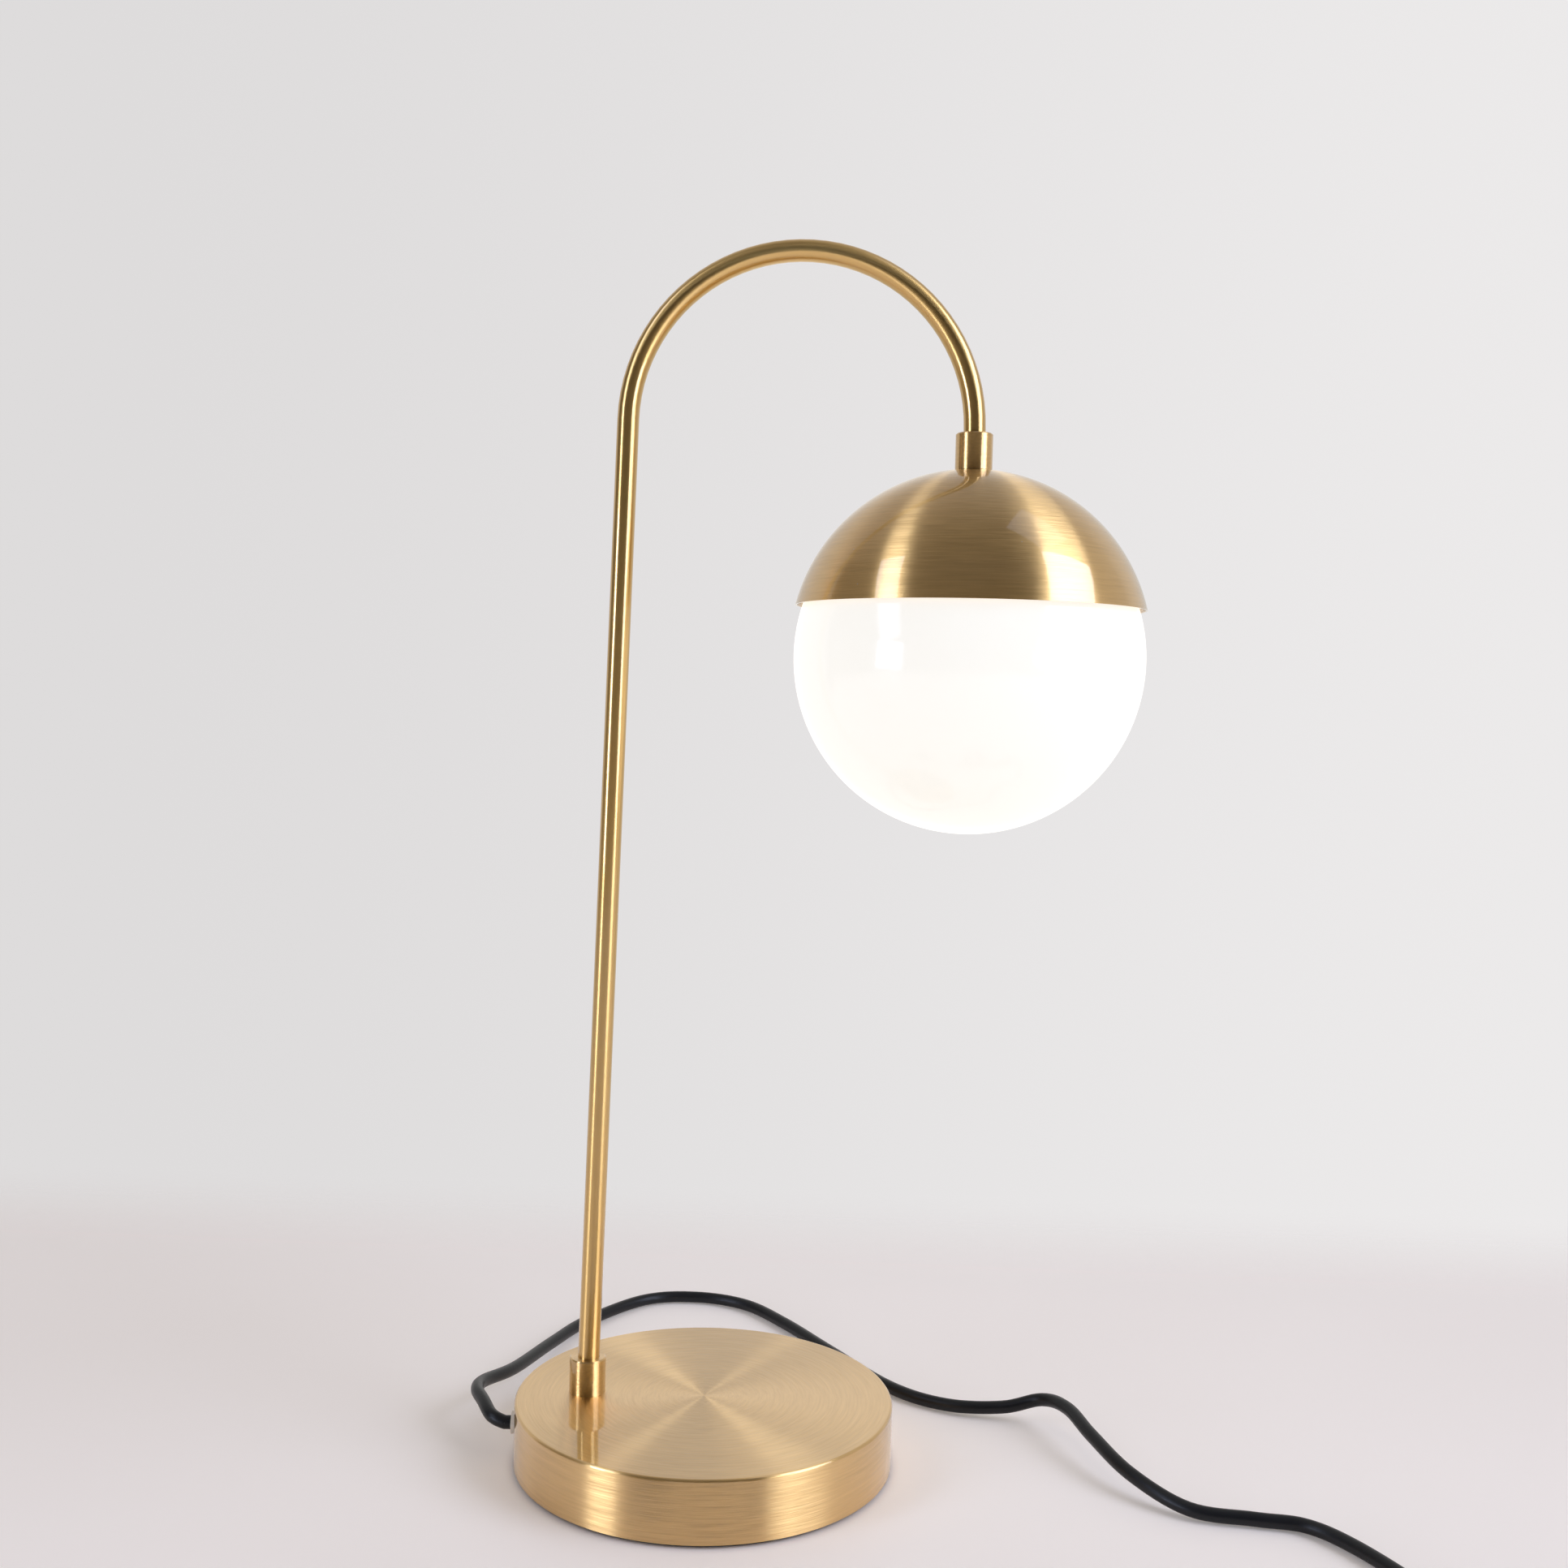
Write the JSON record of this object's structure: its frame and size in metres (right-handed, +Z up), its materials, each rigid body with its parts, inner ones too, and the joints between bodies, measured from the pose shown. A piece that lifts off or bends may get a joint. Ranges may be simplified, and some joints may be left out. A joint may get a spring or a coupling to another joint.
{
  "type": "table lamp",
  "caption": "Table lamp: a round weighted base, a slender stem bent over in an arch, and a metal dome over an opal glass globe, with an in-line switch and plug.",
  "frame": {"origin": "centre of the base's underside, on the table", "axes": "+Z up, +X from the stem towards the head, +Y completes the right-handed frame"},
  "size_m": [0.4052, 0.4239, 0.5319],
  "materials": {
    "brass": "satin brushed, lacquered",
    "steel": "zinc plated",
    "iron": "as cast",
    "pad_black": "closed-cell foam",
    "bushing_cream": "moulded nylon",
    "cord_black": "soft PVC jacket",
    "nylon_white": "moulded nylon",
    "contact_metal": "bright",
    "wire_sheath": "silicone sheath",
    "seal_silicone": "soft silicone",
    "opal_glass": "polished opal",
    "holder_ceramic": "unglazed",
    "bulb_light": "lit phosphor",
    "bulb_frosted": "frosted",
    "switch_black": "fine moulded grain",
    "rocker_grey": "smooth",
    "plug_metal": "nickel plated"
  },
  "bodies": {
    "lamp": {"base_shell": "brass", "stem_plate": "steel", "weight_studs": "steel", "base_weight": "iron", "weight_screws": "steel", "base_pad": "pad_black", "cord_bushing": "bushing_cream", "cord_inner": "cord_black", "cord_clamp": "nylon_white", "clamp_screws": "steel", "terminal_block": "nylon_white", "terminal_sleeves": "contact_metal", "terminal_screws": "steel", "supply_cores": "wire_sheath", "lower_collar": "brass", "base_nipple": "steel", "base_washer": "steel", "nipple_nuts": "steel", "stem_tube": "brass", "lamp_wires": "wire_sheath", "upper_collar": "brass", "head_nipple": "steel", "shade": "brass", "shade_spacer": "steel", "globe_cap": "brass", "lamp_holder": "holder_ceramic", "holder_contacts": "contact_metal", "bulb_pins": "steel", "bulb_base": "holder_ceramic", "bulb_strip": "bulb_light", "bulb_cover": "bulb_frosted", "cord_run": "cord_black", "cord_lead": "cord_black", "cord_coil": "cord_black", "cord_tail": "cord_black", "switch_base": "switch_black", "switch_cover": "switch_black", "switch_screws": "steel", "switch_contacts": "contact_metal", "switch_cores": "cord_black", "plug_body": "switch_black", "plug_pins": "plug_metal", "pin_sleeves": "switch_black"},
    "globe_thread": {"globe_seal": "seal_silicone"},
    "globe": {"globe": "opal_glass", "globe_neck": "opal_glass"},
    "rocker": {"switch_rocker": "rocker_grey"}
  },
  "joints": [
    {"name": "globe_drop", "type": "slide", "parent": "lamp", "child": "globe_thread", "axis": [0, 0, -1], "range_m": [0, 0.0061]},
    {"name": "globe_turn", "type": "hinge", "parent": "globe_thread", "child": "globe", "pos_m": [0.10684, 0, 0.42], "axis": [0, 0, -1], "range_deg": [0, 720]},
    {"name": "rocker_tip", "type": "hinge", "parent": "lamp", "child": "rocker", "pos_m": [0.227, -0.155, 0.016], "axis": [0, -1, 0], "range_deg": [0, 16]}
  ],
  "couplings": [
    {"joint": "globe_drop", "follows": "globe_turn", "m_per_rad": 0.00047746}
  ]
}
